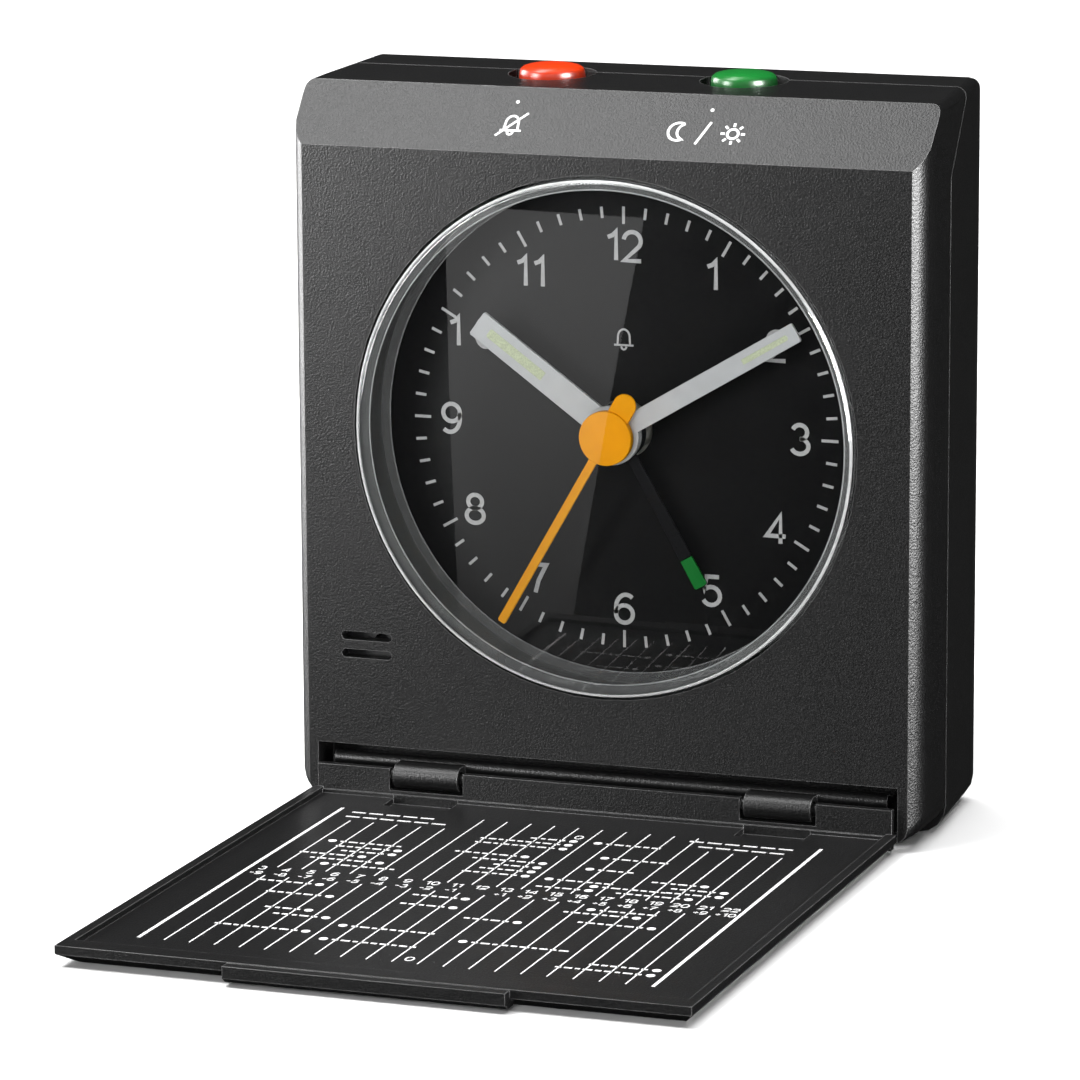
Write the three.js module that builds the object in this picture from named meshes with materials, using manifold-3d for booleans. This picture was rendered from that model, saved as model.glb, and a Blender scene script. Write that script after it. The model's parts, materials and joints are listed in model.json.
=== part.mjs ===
// Travel alarm clock with a fold-down front cover, in millimetres, +Z up.
// X runs to the clock's right as its dial is read and Y runs from the dial to the back.
// Every piece is drawn with the housing's front face on Y = 0. The last group then moves the whole
// clock so that its origin is the middle of its base.

import * as THREE from 'three';
import { mergeVertices } from 'three/addons/utils/BufferGeometryUtils.js';
import Module from 'manifold-3d';

const wasm = await Module();
wasm.setup();

// ---------- driving dimensions ----------

const gap = 0.3;                    // between pieces that touch
const wall = 1.6;                   // housing wall

const body = {
  halfWidth: 34.3,                  // at the parting line
  cheekDepth: 4,                    // the front edges round in over this depth
  cheekInset: 1.45,
  backTaper: 1.2,                   // each side, from the parting line to the back
  height: 77.1,                     // at the back
  depth: 25,
  bevelFoot: 70.2,                  // height where the sloping top strip starts
  bevelTop: 76.3,
  bevelDepth: 5.5,
  frontFootZ: 1,                    // the front shell stops short of the surface below
  footRadius: 3,
  frontTopRadius: 0.9,
  backTopRadius: 1,
  backEdge: { low: 1.6, top: 3 },   // radii at the back: sides and foot, then the top
};

const parting = { y: 9, kneeZ: 68.4, topY: 16, topZ: 75.4 };

const dialCentreZ = 41;
const dialSegments = 56;            // facets round the dial opening
const dial = { radius: 27, faceY: 6.9, backY: 7.7, holeRadius: 3.1 };
const lens = { radius: 27, frontY: -0.6, innerY: 0.4, backY: 6.5, skirt: 1.1, chamfer: 0.5 };
const collar = { innerRadius: lens.radius + gap, outerRadius: 28.8, backY: 8 };

const hinge = { y: -0.1, z: 3.9, pinRadius: 0.6, hookInner: 0.9, hookOuter: 1.3 };
const hingeSlot = { halfWidth: 31.8, top: 6.8, depth: 4.2 };
const hingeRail = { halfLength: 30.4, y: 1.8, z: 4.85, radius: 0.8 };
const hook = { from: 15.7, to: 22.9 };
const cover = {
  halfWidth: 32,
  frontY: -66.4,
  tabY: -67.6,
  tabHalfWidth: 14.2,
  plateTop: 1.6,
  rimTop: 2.2,
  ledgeTop: 2,                      // foot of the rear wall
  windowFoot: 2.4,                  // lower edge of the gap round each hook
  sideRim: 1.1,
  frontRim: 2.4,
  wallTop: 4.7,
  wallFrontY: -1,
  wallBackY: -0.2,
  wallHalfWidth: 31.5,
};

const button = { x: 10.5, y: 14.6, radius: 3.45, wellRadius: 4.6, flange: 5.2, top: 77.8 };
const knob = { x: 13, z: 31.2, radius: 5.4, frontY: 22, backY: 25.9, arbor: 1.2 };
const battery = { radius: 7.1, y: 15.95, z: 10.7, from: -23.4, to: 25.4 };
const door = { halfWidth: 25.7, bottom: 3.2, top: 19.2, innerY: 23.6, outerY: 24.9 };
const soundSlots = { from: -29, to: -23.4, height: 0.9, centres: [18.5, 16.6] };
const buzzer = { x: -25.4, z: 17.5, radius: 4.4 };
const opening = { halfWidth: 26, top: 19.5, y: 23.3 };
const movement = { halfWidth: 23, bottom: 20, top: 62, frontY: 8.3, rimY: 19, backY: 20.3, wall: 1 };

const screws = [
  { name: 'case_screw_top_left', x: -28.5, z: 66 },
  { name: 'case_screw_top_right', x: 28.5, z: 66 },
  { name: 'case_screw_low_left', x: -29.3, z: 27 },
  { name: 'case_screw_low_right', x: 29.3, z: 27 },
];

// Hand angles clockwise from twelve, in degrees: about ten past ten and thirty-five seconds.
const handAngle = { alarm: 150, hour: 305.7, minute: 59.2, second: 210 };

// ---------- helpers ----------

function cleaned(geometry) {
  const bare = geometry.clone();
  bare.deleteAttribute('normal');
  bare.deleteAttribute('uv');
  const merged = mergeVertices(bare, 1e-5);
  const triangles = [];
  for (let i = 0; i < merged.index.count; i += 3) {
    const [a, b, c] = [0, 1, 2].map((k) => merged.index.getX(i + k));
    if (a !== b && b !== c && c !== a) triangles.push(a, b, c);
  }
  merged.setIndex(triangles);
  return merged;
}

function signedVolume(geometry) {
  const points = [new THREE.Vector3(), new THREE.Vector3(), new THREE.Vector3()];
  let sum = 0;
  for (let i = 0; i < geometry.index.count; i += 3) {
    points.forEach((p, k) => p.fromBufferAttribute(geometry.attributes.position, geometry.index.getX(i + k)));
    sum += points[0].dot(points[1].clone().cross(points[2]));
  }
  return sum / 6;
}

function solid(geometry) {
  const closed = cleaned(geometry);
  const triVerts = Uint32Array.from(closed.index.array);
  if (signedVolume(closed) < 0) triVerts.reverse();
  const vertProperties = Float32Array.from(closed.attributes.position.array);
  return new wasm.Manifold(new wasm.Mesh({ numProp: 3, vertProperties, triVerts }));
}

function toGeometry(shape) {
  const mesh = shape.getMesh();
  const geometry = new THREE.BufferGeometry();
  geometry.setAttribute('position', new THREE.BufferAttribute(mesh.vertProperties, mesh.numProp));
  geometry.setIndex(new THREE.BufferAttribute(mesh.triVerts, 1));
  geometry.computeVertexNormals();
  return geometry;
}

const join = (first, ...rest) => rest.reduce((sum, shape) => sum.add(shape), first);
const cut = (first, ...rest) => rest.reduce((left, shape) => left.subtract(shape), first);

function box(x0, x1, y0, y1, z0, z1) {
  const geometry = new THREE.BoxGeometry(x1 - x0, y1 - y0, z1 - z0);
  return solid(geometry.translate((x0 + x1) / 2, (y0 + y1) / 2, (z0 + z1) / 2));
}

const X = new THREE.Vector3(1, 0, 0);
const Y = new THREE.Vector3(0, 1, 0);
const Z = new THREE.Vector3(0, 0, 1);

function extruded(shape, depth, curveSegments = 4) {
  return new THREE.ExtrudeGeometry(shape, { depth, bevelEnabled: false, curveSegments });
}

function outline(points) {
  return new THREE.Shape(points.map(([a, b]) => new THREE.Vector2(a, b)));
}

// A side-view outline in (y, z), carried from x0 to x1.
function alongX(shape, x0, x1) {
  const turn = new THREE.Matrix4().makeBasis(Y, Z, X);
  return solid(extruded(shape, x1 - x0).applyMatrix4(turn).translate(x0, 0, 0));
}

// A front-view outline in (x, z), carried from y0 to y1.
function alongY(shape, y0, y1, curveSegments = 4) {
  const turn = new THREE.Matrix4().makeBasis(X, Z, Y.clone().negate());
  return solid(extruded(shape, y1 - y0, curveSegments).applyMatrix4(turn).translate(0, y1, 0));
}

// A plan outline in (x, y), carried from z0 to z1.
function alongZ(shape, z0, z1) {
  return solid(extruded(shape, z1 - z0).translate(0, 0, z0));
}

// A turned piece about an axis parallel to Y; the profile is a list of [radius, y].
function turned(profile, segments, x = 0, z = 0) {
  const points = profile.map(([r, y]) => new THREE.Vector2(r, y));
  return solid(new THREE.LatheGeometry(points, segments).translate(x, 0, z));
}

function rod(radius, y0, y1, x, z, segments = 16) {
  return turned([[0, y0], [radius, y0], [radius, y1], [0, y1]], segments, x, z);
}

function tube(inner, outer, y0, y1, x, z, segments = 16) {
  return turned([[inner, y0], [outer, y0], [outer, y1], [inner, y1], [inner, y0]], segments, x, z);
}

// A rod along X or Z.
function rodX(radius, x0, x1, y, z, segments = 16) {
  const geometry = new THREE.CylinderGeometry(radius, radius, x1 - x0, segments);
  return solid(geometry.rotateZ(-Math.PI / 2).translate((x0 + x1) / 2, y, z));
}

function rodZ(radius, z0, z1, x, y, segments = 24) {
  const geometry = new THREE.CylinderGeometry(radius, radius, z1 - z0, segments);
  return solid(geometry.rotateX(Math.PI / 2).translate(x, y, (z0 + z1) / 2));
}

// A rectangle with rounded corners, as a shape in its own two axes.
function roundedRectangle(a0, a1, b0, b1, r) {
  const shape = new THREE.Shape();
  shape.moveTo(a0 + r, b0);
  shape.lineTo(a1 - r, b0);
  shape.absarc(a1 - r, b0 + r, r, -Math.PI / 2, 0, false);
  shape.lineTo(a1, b1 - r);
  shape.absarc(a1 - r, b1 - r, r, 0, Math.PI / 2, false);
  shape.lineTo(a0 + r, b1);
  shape.absarc(a0 + r, b1 - r, r, Math.PI / 2, Math.PI, false);
  shape.lineTo(a0, b0 + r);
  shape.absarc(a0 + r, b0 + r, r, Math.PI, Math.PI * 1.5, false);
  return shape;
}

// A toothed disc about an axis parallel to Y.
function gear(teeth, radius, toothDepth, y0, y1, x, z, holeRadius = 0) {
  const shape = new THREE.Shape();
  const step = (Math.PI * 2) / teeth;
  const toothPoints = [[0, -toothDepth], [0.3, 0], [0.55, 0], [0.85, -toothDepth]];
  for (let i = 0; i < teeth; i += 1) {
    toothPoints.forEach(([part, rise], k) => {
      const angle = (i + part) * step;
      const r = radius + rise;
      const place = [x + r * Math.cos(angle), z + r * Math.sin(angle)];
      if (i === 0 && k === 0) shape.moveTo(...place);
      else shape.lineTo(...place);
    });
  }
  const disc = alongY(shape, y0, y1);
  return holeRadius ? cut(disc, rod(holeRadius, y0 - 1, y1 + 1, x, z)) : disc;
}

const clock = new THREE.Group();

function finish(colour, roughness, metalness = 0, opacity = 1) {
  const material = { color: colour, roughness, metalness, opacity, transparent: opacity < 1 };
  return new THREE.MeshStandardMaterial(material);
}

const finishes = {
  blackCase: () => finish(0x1b1b1c, 0.6),
  blackPlain: () => finish(0x111112, 0.45),
  innerGrey: () => finish(0x6d6f70, 0.6),
  clear: () => finish(0xf2f5f5, 0.03, 0, 0.25),
  silver: () => finish(0xc4c6c6, 0.4),
  lume: () => finish(0xdce4bd, 0.7),
  yellow: () => finish(0xf5a000, 0.45),
  green: () => finish(0x11802e, 0.35),
  red: () => finish(0xe23a10, 0.3),
  brass: () => finish(0xb98d3e, 0.35, 1),
  steel: () => finish(0xaab0b4, 0.35, 1),
  copper: () => finish(0xa4532a, 0.4, 0.8),
  board: () => finish(0x1d5c3a, 0.5),
  nylon: () => finish(0xe9e6dc, 0.55),
  cell: () => finish(0x2b5c8a, 0.35, 0.3),
};

function add(name, shape, look, parent = clock) {
  const geometry = shape.isBufferGeometry ? shape : toGeometry(shape);
  const mesh = new THREE.Mesh(geometry, look());
  mesh.name = name;
  parent.add(mesh);
  return mesh;
}

// ---------- housing ----------

// Half the housing's width at depth y: rounded cheeks at the front, then a slight taper to the back.
function halfWidthAt(y) {
  if (y < body.cheekDepth) {
    return body.halfWidth - body.cheekInset * (1 - y / body.cheekDepth) ** 4;
  }
  const part = Math.max(0, y - parting.y) / (body.depth - parting.y);
  return body.halfWidth - body.backTaper * part;
}

function topAt(y) {
  const part = Math.max(0, y - body.bevelDepth) / (body.depth - body.bevelDepth);
  return body.bevelTop + (body.height - body.bevelTop) * part;
}

// A closed ring in the plane of y: a rectangle standing on z0 with small top and larger foot corners.
function ring(y, half, z0, z1, footRadius, topRadius) {
  const corners = [
    [half, z0, footRadius, -90], [half, z1, topRadius, 0], [-half, z1, topRadius, 90], [-half, z0, footRadius, 180],
  ];
  const steps = 4;
  return corners.flatMap(([x, z, r, start]) => {
    const cx = x - Math.sign(x) * r;
    const cz = z === z0 ? z + r : z - r;
    return Array.from({ length: steps + 1 }, (_, i) => {
      const angle = THREE.MathUtils.degToRad(start + (90 * i) / steps);
      return new THREE.Vector3(cx + r * Math.cos(angle), y, cz + r * Math.sin(angle));
    });
  });
}

// A closed solid through rings of equal length, with flat ends.
function lofted(rings) {
  const count = rings[0].length;
  const at = (i, j) => i * count + (j % count);
  const index = [];
  for (let i = 0; i + 1 < rings.length; i += 1) {
    for (let j = 0; j < count; j += 1) {
      index.push(at(i, j), at(i, j + 1), at(i + 1, j + 1), at(i, j), at(i + 1, j + 1), at(i + 1, j));
    }
  }
  for (let j = 1; j + 1 < count; j += 1) {
    index.push(at(0, 0), at(0, j + 1), at(0, j));
    index.push(at(rings.length - 1, 0), at(rings.length - 1, j), at(rings.length - 1, j + 1));
  }
  const geometry = new THREE.BufferGeometry().setFromPoints(rings.flat());
  geometry.setIndex(index);
  return solid(geometry);
}

// The housing's outer form, or the same form with every side moved in by t.
function bodyForm(t) {
  const back = body.depth - t;
  const low = Math.max(body.backEdge.low - t, 0.6);
  const top = Math.max(body.backEdge.top - t, 0.6);
  const rounding = (y, r) => r - Math.sqrt(Math.max(0, r ** 2 - Math.max(0, y - back + r) ** 2));
  const ringAt = (y, footZ = 0) => {
    const inset = rounding(y, low);
    const drop = rounding(y, top);
    const lost = Math.max(0, body.halfWidth - halfWidthAt(y)) * (y < parting.y ? 1 : 0);
    const foot = Math.max(body.footRadius - lost - t - inset * 0.5, 0.5);
    const topRadius = body.frontTopRadius + (body.backTopRadius - body.frontTopRadius) * (y / body.depth);
    const head = Math.max(topRadius - t - inset * 0.3, 0.5);
    return ring(y, halfWidthAt(y) - t - inset, footZ + t + inset, topAt(y) - t - drop, foot, head);
  };
  const cheekSteps = t > 0 ? [0, 1] : [0, 0.1, 0.27, 0.5, 1];
  const cheeks = cheekSteps.map((part) => t + part * (body.cheekDepth - t));
  const rings = [...cheeks, parting.y - 0.05].map((y) => ringAt(y, body.frontFootZ));
  rings.push(ringAt(parting.y + 0.05), ringAt(back - top));
  for (const angle of [25, 45, 60, 75, 90].map(THREE.MathUtils.degToRad)) {
    rings.push(ringAt(back - top + top * Math.sin(angle)));
  }

  const slope = Math.atan2(body.bevelTop - body.bevelFoot, body.bevelDepth);
  const footZ = body.bevelFoot - t * Math.tan((Math.PI / 2 - slope) / 2);
  const topY = body.bevelDepth + t * Math.tan(slope / 2);
  const side = outline([
    [t - 0.01, -1], [t - 0.01, footZ], [topY, body.bevelTop - t], [topY + 1, 90], [50, 90], [50, -1],
  ]);
  return lofted(rings).intersect(alongX(side, -50, 50));
}

// Everything in front of the parting line, moved back by shift.
function frontRegion(shift) {
  const { y, kneeZ, topY, topZ } = parting;
  const shape = outline([
    [-10, -10], [y + shift, -10], [y + shift, kneeZ], [topY + shift, topZ], [topY + shift, 90], [-10, 90],
  ]);
  return alongX(shape, -50, 50);
}

const shell = cut(bodyForm(0), bodyForm(wall));
const wells = [-1, 1].map((side) => rodZ(button.wellRadius, 70, 80, side * button.x, button.y));

function soundSlot(z) {
  const half = soundSlots.height / 2;
  const shape = roundedRectangle(soundSlots.from, soundSlots.to, z - half, z + half, half - 0.01);
  return alongY(shape, -1, wall + 0.2);
}

function frontHousing() {
  const slotBack = box(
    -hingeSlot.halfWidth - 1.2, hingeSlot.halfWidth + 1.2, 0.5, hingeSlot.depth + 1.2, 0, hingeSlot.top + 1.2,
  );
  const slotSpace = box(
    -hingeSlot.halfWidth, hingeSlot.halfWidth, -1, hingeSlot.depth, -1, hingeSlot.top,
  );
  const dialWell = tube(
    collar.innerRadius, collar.outerRadius, 0.5, collar.backY, 0, dialCentreZ, dialSegments,
  );
  const bosses = screws.map(({ x, z }) => rod(2.8, 0.8, parting.y - gap / 2, x, z));
  const screwHoles = screws.map(({ x, z }) => rod(1.4, 4.6, parting.y + 1, x, z));
  const solidPart = join(shell, slotBack.intersect(bodyForm(0)), dialWell, ...bosses);
  return cut(
    solidPart.intersect(frontRegion(-gap / 2)),
    slotSpace,
    rod(collar.innerRadius, -1, 3, 0, dialCentreZ, dialSegments),
    box(-1.9, 1.9, 3, 6, 67, 70.2),
    ...soundSlots.centres.map(soundSlot),
    ...wells,
    ...screwHoles,
  );
}

function rearHousing() {
  const shelf = box(-31.5, 31.5, parting.y + gap, body.depth - wall + 0.1, 18.3, 19.3);
  const bayEnds = [-1, 1].map((side) => (
    box(side * 31 - 0.5, side * 31 + 0.5, parting.y + gap, body.depth - wall + 0.1, 1, 18.5)
  ));
  const bosses = screws.map(({ x, z }) => rod(3.1, parting.y + gap, body.depth - wall + 0.1, x, z));
  const headWells = screws.map(({ x, z }) => rod(2.3, 13.6, body.depth + 1, x, z));
  const shankHoles = screws.map(({ x, z }) => rod(1.4, parting.y - 1, 14, x, z));
  const knobWells = [-1, 1].map((side) => (
    rod(knob.radius + 0.6, 20.9, body.depth + 1, side * knob.x, knob.z, 28)
  ));
  const knobCollars = [-1, 1].map((side) => (
    rod(knob.radius + 1.6, 20.9, body.depth - wall + 0.1, side * knob.x, knob.z, 28)
  ));
  const behind = bodyForm(0).subtract(frontRegion(gap / 2));
  const solidPart = join(shell, shelf, ...bayEnds, ...bosses, ...knobCollars).intersect(behind);
  return cut(
    solidPart,
    box(-opening.halfWidth, opening.halfWidth, opening.y, body.depth + 1, -1, opening.top),
    ...wells,
    ...headWells,
    ...shankHoles,
    ...knobWells,
  );
}

add('front_housing', frontHousing(), finishes.blackCase);
add('rear_housing', rearHousing(), finishes.blackCase);

// A Phillips-head screw, head to the back.
for (const { name, x, z } of screws) {
  const head = rod(2, 13.9, 15.2, x, z, 16);
  const shank = rod(1.05, 5, 14, x, z, 12);
  const cross = [box(x - 1.2, x + 1.2, 14.7, 16, z - 0.25, z + 0.25), box(x - 0.25, x + 0.25, 14.7, 16, z - 1.2, z + 1.2)];
  add(name, cut(join(head, shank), ...cross), finishes.steel);
}

// ---------- hinge and cover ----------

function coverBlank() {
  const c = cover;
  const section = outline([
    [-c.halfWidth, c.rimTop], [-c.halfWidth, 1.4], [-c.halfWidth + 1.4, 0],
    [c.halfWidth - 1.4, 0], [c.halfWidth, 1.4], [c.halfWidth, c.rimTop],
  ]);
  const side = outline([
    [c.frontY, c.rimTop], [c.frontY, 1.3], [c.frontY + 2.6, 0], [c.wallBackY, 0], [c.wallBackY, c.rimTop],
  ]);
  return alongY(section, c.frontY - 1, 1).intersect(alongX(side, -40, 40));
}

function coverShape() {
  const c = cover;
  const tab = alongX(outline([
    [c.tabY, 2.1], [c.tabY, 0.9], [c.tabY + 0.7, 0.4], [c.frontY + 1, 0.4], [c.frontY + 1, 2.1],
  ]), -c.tabHalfWidth, c.tabHalfWidth);
  const inside = box(
    -c.halfWidth + c.sideRim, c.halfWidth - c.sideRim, c.frontY + c.frontRim, 0, c.plateTop, 5,
  );
  const rearWall = box(
    -c.wallHalfWidth, c.wallHalfWidth, c.wallFrontY, c.wallBackY, 0.5, c.wallTop,
  );
  const ledge = box(
    -c.wallHalfWidth, c.wallHalfWidth, c.wallFrontY - 0.25, c.wallBackY, 0.5, c.ledgeTop,
  );
  const rearCorners = [-1, 1].map((side) => (
    box(side * 32 - 0.5, side * 32 + 0.5, c.wallFrontY, 1, -1, 5)
  ));
  const plate = cut(join(cut(coverBlank(), inside), tab, rearWall, ledge), ...rearCorners);
  const windows = [-1, 1].map((side) => {
    const [from, to] = [hook.from - 0.5, hook.to + 0.5].map((x) => side * x).sort((a, b) => a - b);
    return box(from, to, c.wallFrontY - 1, 1, c.windowFoot, 6);
  });
  const recesses = [-1, 1].map((side) => {
    const [from, to] = [hook.from, hook.to].map((x) => side * x).sort((a, b) => a - b);
    return alongX(outline([[-4.4, c.plateTop + 0.1], [-3.6, 1], [-1.2, 1], [-1.2, 3], [-4.4, 3]]), from, to);
  });
  const pins = [-1, 1].map((side) => {
    const [from, to] = [hook.from - 1, hook.to + 1].map((x) => side * x).sort((a, b) => a - b);
    return rodX(hinge.pinRadius, from, to, hinge.y, hinge.z);
  });
  return join(cut(plate, ...windows, ...recesses), ...pins);
}

function hingeRailShape() {
  const { halfLength, y, z, radius } = hingeRail;
  const round = rodX(radius, -halfLength, halfLength, y, z);
  const web = box(-halfLength, halfLength, y, hingeSlot.depth - gap, z - radius * 0.5, z + radius * 0.5);
  const hooks = [-1, 1].map((side) => {
    const [from, to] = [hook.from, hook.to].map((x) => side * x).sort((a, b) => a - b);
    const ring = cut(
      rodX(hinge.hookOuter, from, to, hinge.y, hinge.z),
      rodX(hinge.hookInner, from - 1, to + 1, hinge.y, hinge.z),
      box(from - 1, to + 1, hinge.y - 0.5, hinge.y + 2, hinge.z - 3, hinge.z - 0.2),
    );
    const arm = cut(
      box(from, to, hinge.y, hingeRail.y, hinge.z + 0.6, hinge.z + hinge.hookOuter),
      rodX(hinge.hookInner, from - 1, to + 1, hinge.y, hinge.z),
    );
    return join(ring, arm);
  });
  return join(round, web, ...hooks);
}

add('hinge_bar', hingeRailShape(), finishes.blackCase);
add('front_cover', coverShape(), finishes.blackCase);

// ---------- lens and dial ----------

add('lens', turned([
  [0, lens.frontY], [lens.radius - lens.chamfer, lens.frontY], [lens.radius, lens.frontY + lens.chamfer],
  [lens.radius, lens.backY], [lens.radius - lens.skirt, lens.backY],
  [lens.radius - lens.skirt, lens.innerY], [0, lens.innerY],
], dialSegments, 0, dialCentreZ), finishes.clear);

add('dial_plate', tube(
  dial.holeRadius, dial.radius, dial.faceY, dial.backY, 0, dialCentreZ, dialSegments,
), finishes.blackPlain);

add('dial_light', box(-1.5, 1.5, 3.4, 5.4, 68.7, 70), finishes.nylon);

// ---------- hands ----------

// Each hand is drawn pointing at twelve about its own centre, and its group turns it to the time.
function handGroup(angle) {
  const group = new THREE.Group();
  group.position.set(0, 0, dialCentreZ);
  group.rotation.y = THREE.MathUtils.degToRad(angle);
  clock.add(group);
  return group;
}

function blade(tail, tip, rootWidth, tipWidth, y0, y1) {
  return alongY(outline([
    [-rootWidth / 2, tail], [rootWidth / 2, tail], [tipWidth / 2, tip], [-tipWidth / 2, tip],
  ]), y0, y1);
}

function hubbedHand(hubRadius, holeRadius, hubDepth, hand) {
  const [y0, y1] = hubDepth;
  return cut(join(rod(hubRadius, y0, y1, 0, 0, 24), hand), rod(holeRadius, y0 - 1, y1 + 1, 0, 0));
}

const alarmGroup = handGroup(handAngle.alarm);
add('alarm_hand', hubbedHand(3, 2.7, [5, 5.35], blade(2.8, 14.8, 1, 1.4, 5, 5.35)), finishes.blackPlain, alarmGroup);
add('alarm_hand_tip', blade(15.1, 18.2, 1.4, 1.5, 5, 5.35), finishes.green, alarmGroup);

const hourGroup = handGroup(handAngle.hour);
const hourBlade = cut(blade(0, 18.5, 2.9, 2.9, 3.6, 4), blade(9.2, 17.2, 1.5, 1.5, 3, 5));
add('hour_hand', hubbedHand(3, 2, [3.6, 4], hourBlade), finishes.silver, hourGroup);
add('hour_hand_lume', blade(9.5, 16.9, 0.9, 0.9, 3.65, 3.95), finishes.lume, hourGroup);

const minuteGroup = handGroup(handAngle.minute);
const minuteBlade = cut(blade(0, 23.3, 2.1, 2.1, 2.5, 2.9), blade(16.3, 22.5, 1.2, 1.2, 2, 4));
add('minute_hand', hubbedHand(3.1, 1.3, [2.5, 2.9], minuteBlade), finishes.silver, minuteGroup);
add('minute_hand_lume', blade(16.6, 22.2, 0.6, 0.6, 2.55, 2.85), finishes.lume, minuteGroup);

const secondGroup = handGroup(handAngle.second);
const secondBlade = join(
  blade(-3, 23.3, 0.95, 0.95, 1.2, 1.5), blade(-4, 0, 2.5, 2.5, 1.2, 1.5), rod(1.25, 1.2, 1.5, 0, -4, 20),
);
add('second_hand', join(rod(2.85, 0.85, 1.7, 0, 0, 24), secondBlade), finishes.yellow, secondGroup);

// ---------- movement ----------

// The wheels stand clear of one another, so their teeth are fewer and coarser than real ones.
const wheelTeeth = 14;
const pinionTeeth = 6;

const centre = [0, dialCentreZ];
const motionAt = [11.5, dialCentreZ];
const thirdAt = [-4.95, dialCentreZ + 8.57];
const stepAt = [-1.5, dialCentreZ - 8.57];
const rotorAt = [-1.5, dialCentreZ - 16];

function movementFront() {
  const { halfWidth: half, bottom, top, frontY, rimY, wall: t } = movement;
  const outer = box(-half, half, frontY, rimY, bottom, top);
  const inner = box(t - half, half - t, frontY + t, rimY + 1, bottom + t, top - t);
  return cut(outer, inner, rod(3, frontY - 1, frontY + 2, ...centre));
}

function movementBack() {
  const { halfWidth: half, bottom, top, rimY, backY } = movement;
  const arborHoles = [-1, 1].map((side) => rod(knob.arbor + 0.4, rimY, backY + 1, side * knob.x, knob.z));
  return cut(box(-half, half, rimY + gap, backY, bottom, top), ...arborHoles);
}

add('movement_front_case', movementFront(), finishes.nylon);
add('movement_back_plate', movementBack(), finishes.nylon);

// Four coaxial arbors carry the hands, each a tube round the one inside it.
add('alarm_wheel', join(
  gear(wheelTeeth, 13, 1, 10, 10.8, ...centre, 2.3), tube(2.2, 2.6, 4.6, 10.8, ...centre),
), finishes.nylon);
add('hour_wheel', join(
  gear(wheelTeeth, 9, 0.8, 11.3, 12.1, ...centre, 1.6), tube(1.5, 1.9, 3.3, 12.1, ...centre),
), finishes.nylon);
add('minute_wheel', join(
  gear(wheelTeeth, 8, 0.8, 13.4, 14.1, ...centre, 0.9), gear(pinionTeeth, 3, 0.6, 12.5, 13.4, ...centre, 0.9),
  tube(0.8, 1.2, 2.2, 13.4, ...centre),
), finishes.brass);
add('second_wheel', join(
  gear(wheelTeeth, 7, 0.8, 16.2, 16.8, ...centre), gear(pinionTeeth, 1.4, 0.5, 15, 16.2, ...centre),
  rod(0.5, 1.9, 18.6, ...centre, 16),
), finishes.nylon);

add('third_wheel', join(
  gear(wheelTeeth, 8.2, 0.8, 15, 15.6, ...thirdAt), gear(pinionTeeth, 1.6, 0.5, 13.4, 15, ...thirdAt),
  rod(0.5, 12.5, 18.6, ...thirdAt, 16),
), finishes.nylon);
add('motion_wheel', join(
  gear(wheelTeeth, 8.2, 0.8, 12.5, 13.2, ...motionAt), gear(pinionTeeth, 2.2, 0.6, 11.3, 12.5, ...motionAt),
  rod(0.5, 11.2, 18.6, ...motionAt, 16),
), finishes.nylon);
add('step_wheel', join(
  gear(wheelTeeth, 6, 0.7, 17.4, 18, ...stepAt), gear(pinionTeeth, 1.4, 0.5, 16.2, 17.4, ...stepAt),
  rod(0.5, 15, 18.6, ...stepAt, 16),
), finishes.nylon);
add('rotor', join(
  rod(2, 15.5, 16.9, ...rotorAt), gear(pinionTeeth, 1.1, 0.4, 16.9, 18, ...rotorAt), rod(0.4, 14.5, 18.6, ...rotorAt, 16),
), finishes.steel);

const coilZ = rotorAt[1];
add('stator', cut(
  join(box(-7, 5, 15.9, 16.5, coilZ - 3.7, coilZ + 3.7), box(4.9, 20, 15.9, 16.5, coilZ - 0.8, coilZ + 0.8)),
  rod(2.5, 15, 18, ...rotorAt),
), finishes.steel);
add('coil', cut(
  rodX(2.8, 6, 19, 16.2, coilZ), box(5, 20.5, 15.6, 16.8, coilZ - 1.1, coilZ + 1.1),
), finishes.copper);

add('circuit_board', box(5, 21, 15.5, 16.3, 51, 60), finishes.board);
add('quartz_crystal', rodX(1, 8, 14, 14.2, 57.5, 16), finishes.steel);

// ---------- setting knobs ----------

const knobRidges = 20;

function knurledKnob(side, pinionRadius, y0, y1) {
  const at = [side * knob.x, knob.z];
  const grip = gear(knobRidges, knob.radius, 0.35, knob.frontY, knob.backY, ...at);
  const dish = rod(3.6, knob.backY - 0.6, knob.backY + 1, ...at);
  const arbor = rod(knob.arbor, y0, knob.frontY + 0.5, ...at);
  return join(cut(grip, dish), arbor, gear(pinionTeeth, pinionRadius, 0.4, y0, y1, ...at));
}

add('time_knob', knurledKnob(1, 1.4, 12.5, 13.2), finishes.blackPlain);
add('alarm_knob', knurledKnob(-1, 3, 10, 10.8), finishes.blackPlain);

// ---------- buttons, switches and sounder ----------

// A domed cap in its well, with a flange under the top wall and a stem down to the switch.
function pushButton(x) {
  const r = button.radius;
  const crown = 76.7;
  const domeSteps = 4;
  const profile = [[0, 72.6], [1.5, 72.6], [1.5, 73.4], [button.flange, 73.4], [button.flange, 74.3], [r, 74.3], [r, crown]];
  for (let i = 1; i <= domeSteps; i += 1) {
    const a = (i * Math.PI) / (2 * domeSteps);
    profile.push([i === domeSteps ? 0 : r * Math.cos(a), crown + (button.top - crown) * Math.sin(a)]);
  }
  const points = profile.map(([radius, z]) => new THREE.Vector2(radius, z));
  return solid(new THREE.LatheGeometry(points, 24).rotateX(Math.PI / 2).translate(x, button.y, 0));
}

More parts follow.
